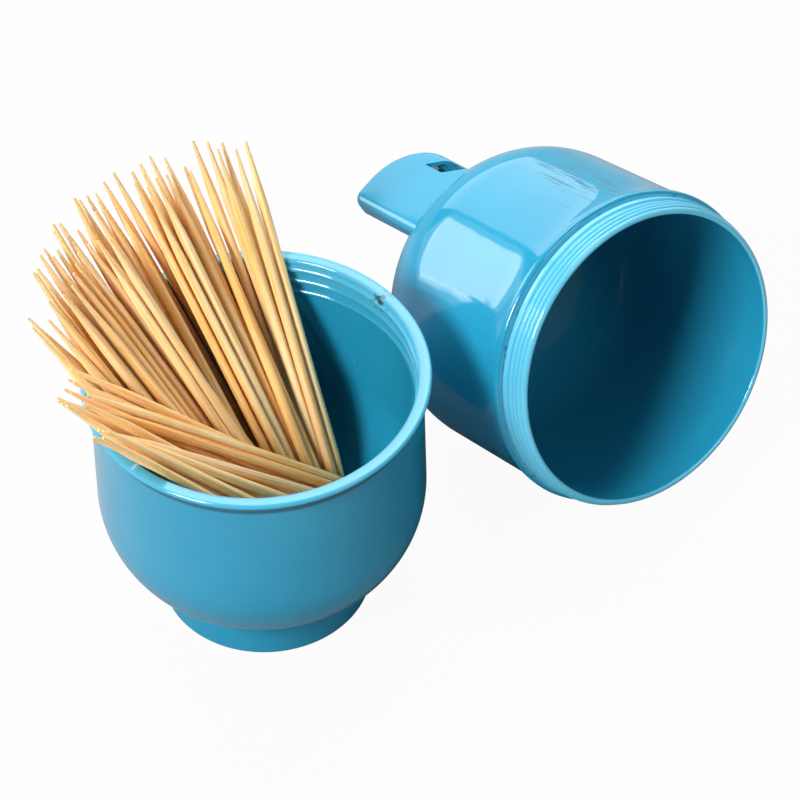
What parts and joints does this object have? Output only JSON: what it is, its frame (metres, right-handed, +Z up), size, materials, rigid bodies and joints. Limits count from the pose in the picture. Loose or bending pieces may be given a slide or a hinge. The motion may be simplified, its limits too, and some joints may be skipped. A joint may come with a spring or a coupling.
{
  "type": "toothpick dispenser",
  "caption": "Round toothpick dispenser: a footed cup holding a leaning bundle of toothpicks, with its domed screw lid and flat side spout lying beside it.",
  "frame": {"origin": "centre of the cup's foot ring, on the surface that it stands on", "axes": "+Z up, along the cup's axis; +X from the cup towards the lid; +Y towards the lid's crown, away from its mouth"},
  "size_m": [0.1141, 0.0852, 0.0677],
  "materials": {
    "blue_plastic": "smooth, glossy, sky blue",
    "bamboo": "fine straight grain, dry and matt"
  },
  "bodies": {
    "cup": {"cup": "blue_plastic"},
    "lid": {"lid_shell": "blue_plastic", "spout": "blue_plastic"},
    "toothpicks": {"toothpick_01": "bamboo", "toothpick_02": "bamboo", "toothpick_03": "bamboo", "toothpick_04": "bamboo", "toothpick_05": "bamboo", "toothpick_06": "bamboo", "toothpick_07": "bamboo", "toothpick_08": "bamboo", "toothpick_09": "bamboo", "toothpick_10": "bamboo", "toothpick_11": "bamboo", "toothpick_12": "bamboo", "toothpick_13": "bamboo", "toothpick_14": "bamboo", "toothpick_15": "bamboo", "toothpick_16": "bamboo", "toothpick_17": "bamboo", "toothpick_18": "bamboo", "toothpick_19": "bamboo", "toothpick_20": "bamboo", "toothpick_21": "bamboo", "toothpick_22": "bamboo", "toothpick_23": "bamboo", "toothpick_24": "bamboo", "toothpick_25": "bamboo", "toothpick_26": "bamboo", "toothpick_27": "bamboo", "toothpick_28": "bamboo", "toothpick_29": "bamboo", "toothpick_30": "bamboo", "toothpick_31": "bamboo", "toothpick_32": "bamboo", "toothpick_33": "bamboo", "toothpick_34": "bamboo", "toothpick_35": "bamboo", "toothpick_36": "bamboo", "toothpick_37": "bamboo", "toothpick_38": "bamboo", "toothpick_39": "bamboo", "toothpick_40": "bamboo", "toothpick_41": "bamboo", "toothpick_42": "bamboo", "toothpick_43": "bamboo", "toothpick_44": "bamboo", "toothpick_45": "bamboo", "toothpick_46": "bamboo", "toothpick_47": "bamboo", "toothpick_48": "bamboo", "toothpick_49": "bamboo", "toothpick_50": "bamboo", "toothpick_51": "bamboo", "toothpick_52": "bamboo", "toothpick_53": "bamboo", "toothpick_54": "bamboo", "toothpick_55": "bamboo", "toothpick_56": "bamboo", "toothpick_57": "bamboo"}
  },
  "joints": [
    {"name": "toothpicks_lift", "type": "slide", "parent": "cup", "child": "toothpicks", "axis": [0, 0, 1], "range_m": [0, 0.05]},
    {"name": "lid_lift", "type": "slide", "parent": "cup", "child": "lid", "axis": [0, 0, 1], "range_m": [0, 0.08]}
  ]
}
